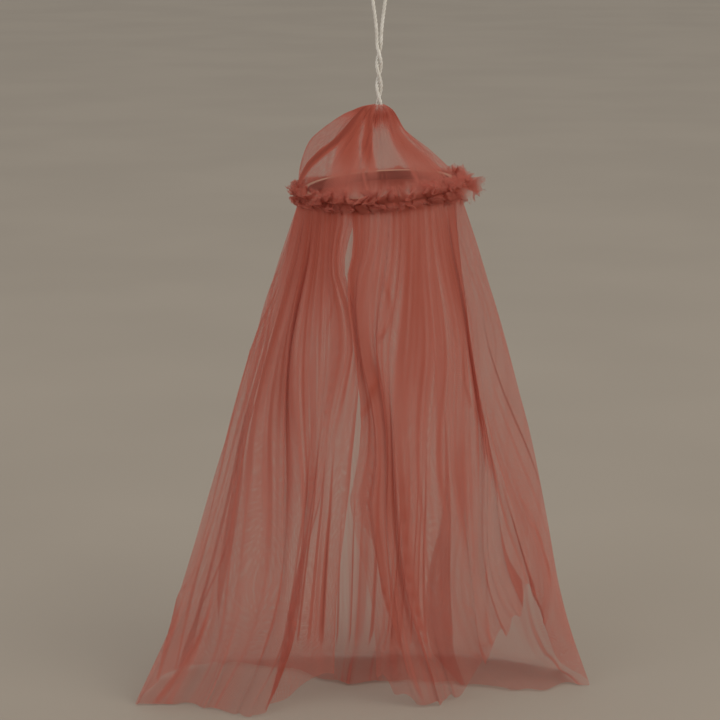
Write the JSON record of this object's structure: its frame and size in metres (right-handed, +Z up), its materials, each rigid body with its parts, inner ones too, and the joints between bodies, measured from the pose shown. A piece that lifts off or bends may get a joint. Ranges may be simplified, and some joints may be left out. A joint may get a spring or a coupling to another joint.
{
  "type": "mosquito net canopy with hoop",
  "caption": "Toy mosquito net canopy: gathered tulle crown over a hoop, frill round it, and a long folded skirt open at the front, hung by a doubled twisted cord.",
  "frame": {"origin": "the point that a hook holds, under the top of the cord's loop", "axes": "+Z up along the cord, +X to the right and +Y to the back as the open front is looked at"},
  "size_m": [0.2969, 0.1277, 0.4619],
  "materials": {
    "cord": "white twisted cotton",
    "tulle": "sheer coral net with a mesh of about 1.1 mm",
    "hoop": "pale, sanded"
  },
  "bodies": {
    "root": {"cord": "cord", "cord_knot": "cord", "crown": "tulle", "hoop": "hoop", "ruffle": "tulle", "skirt": "tulle"}
  },
  "joints": []
}
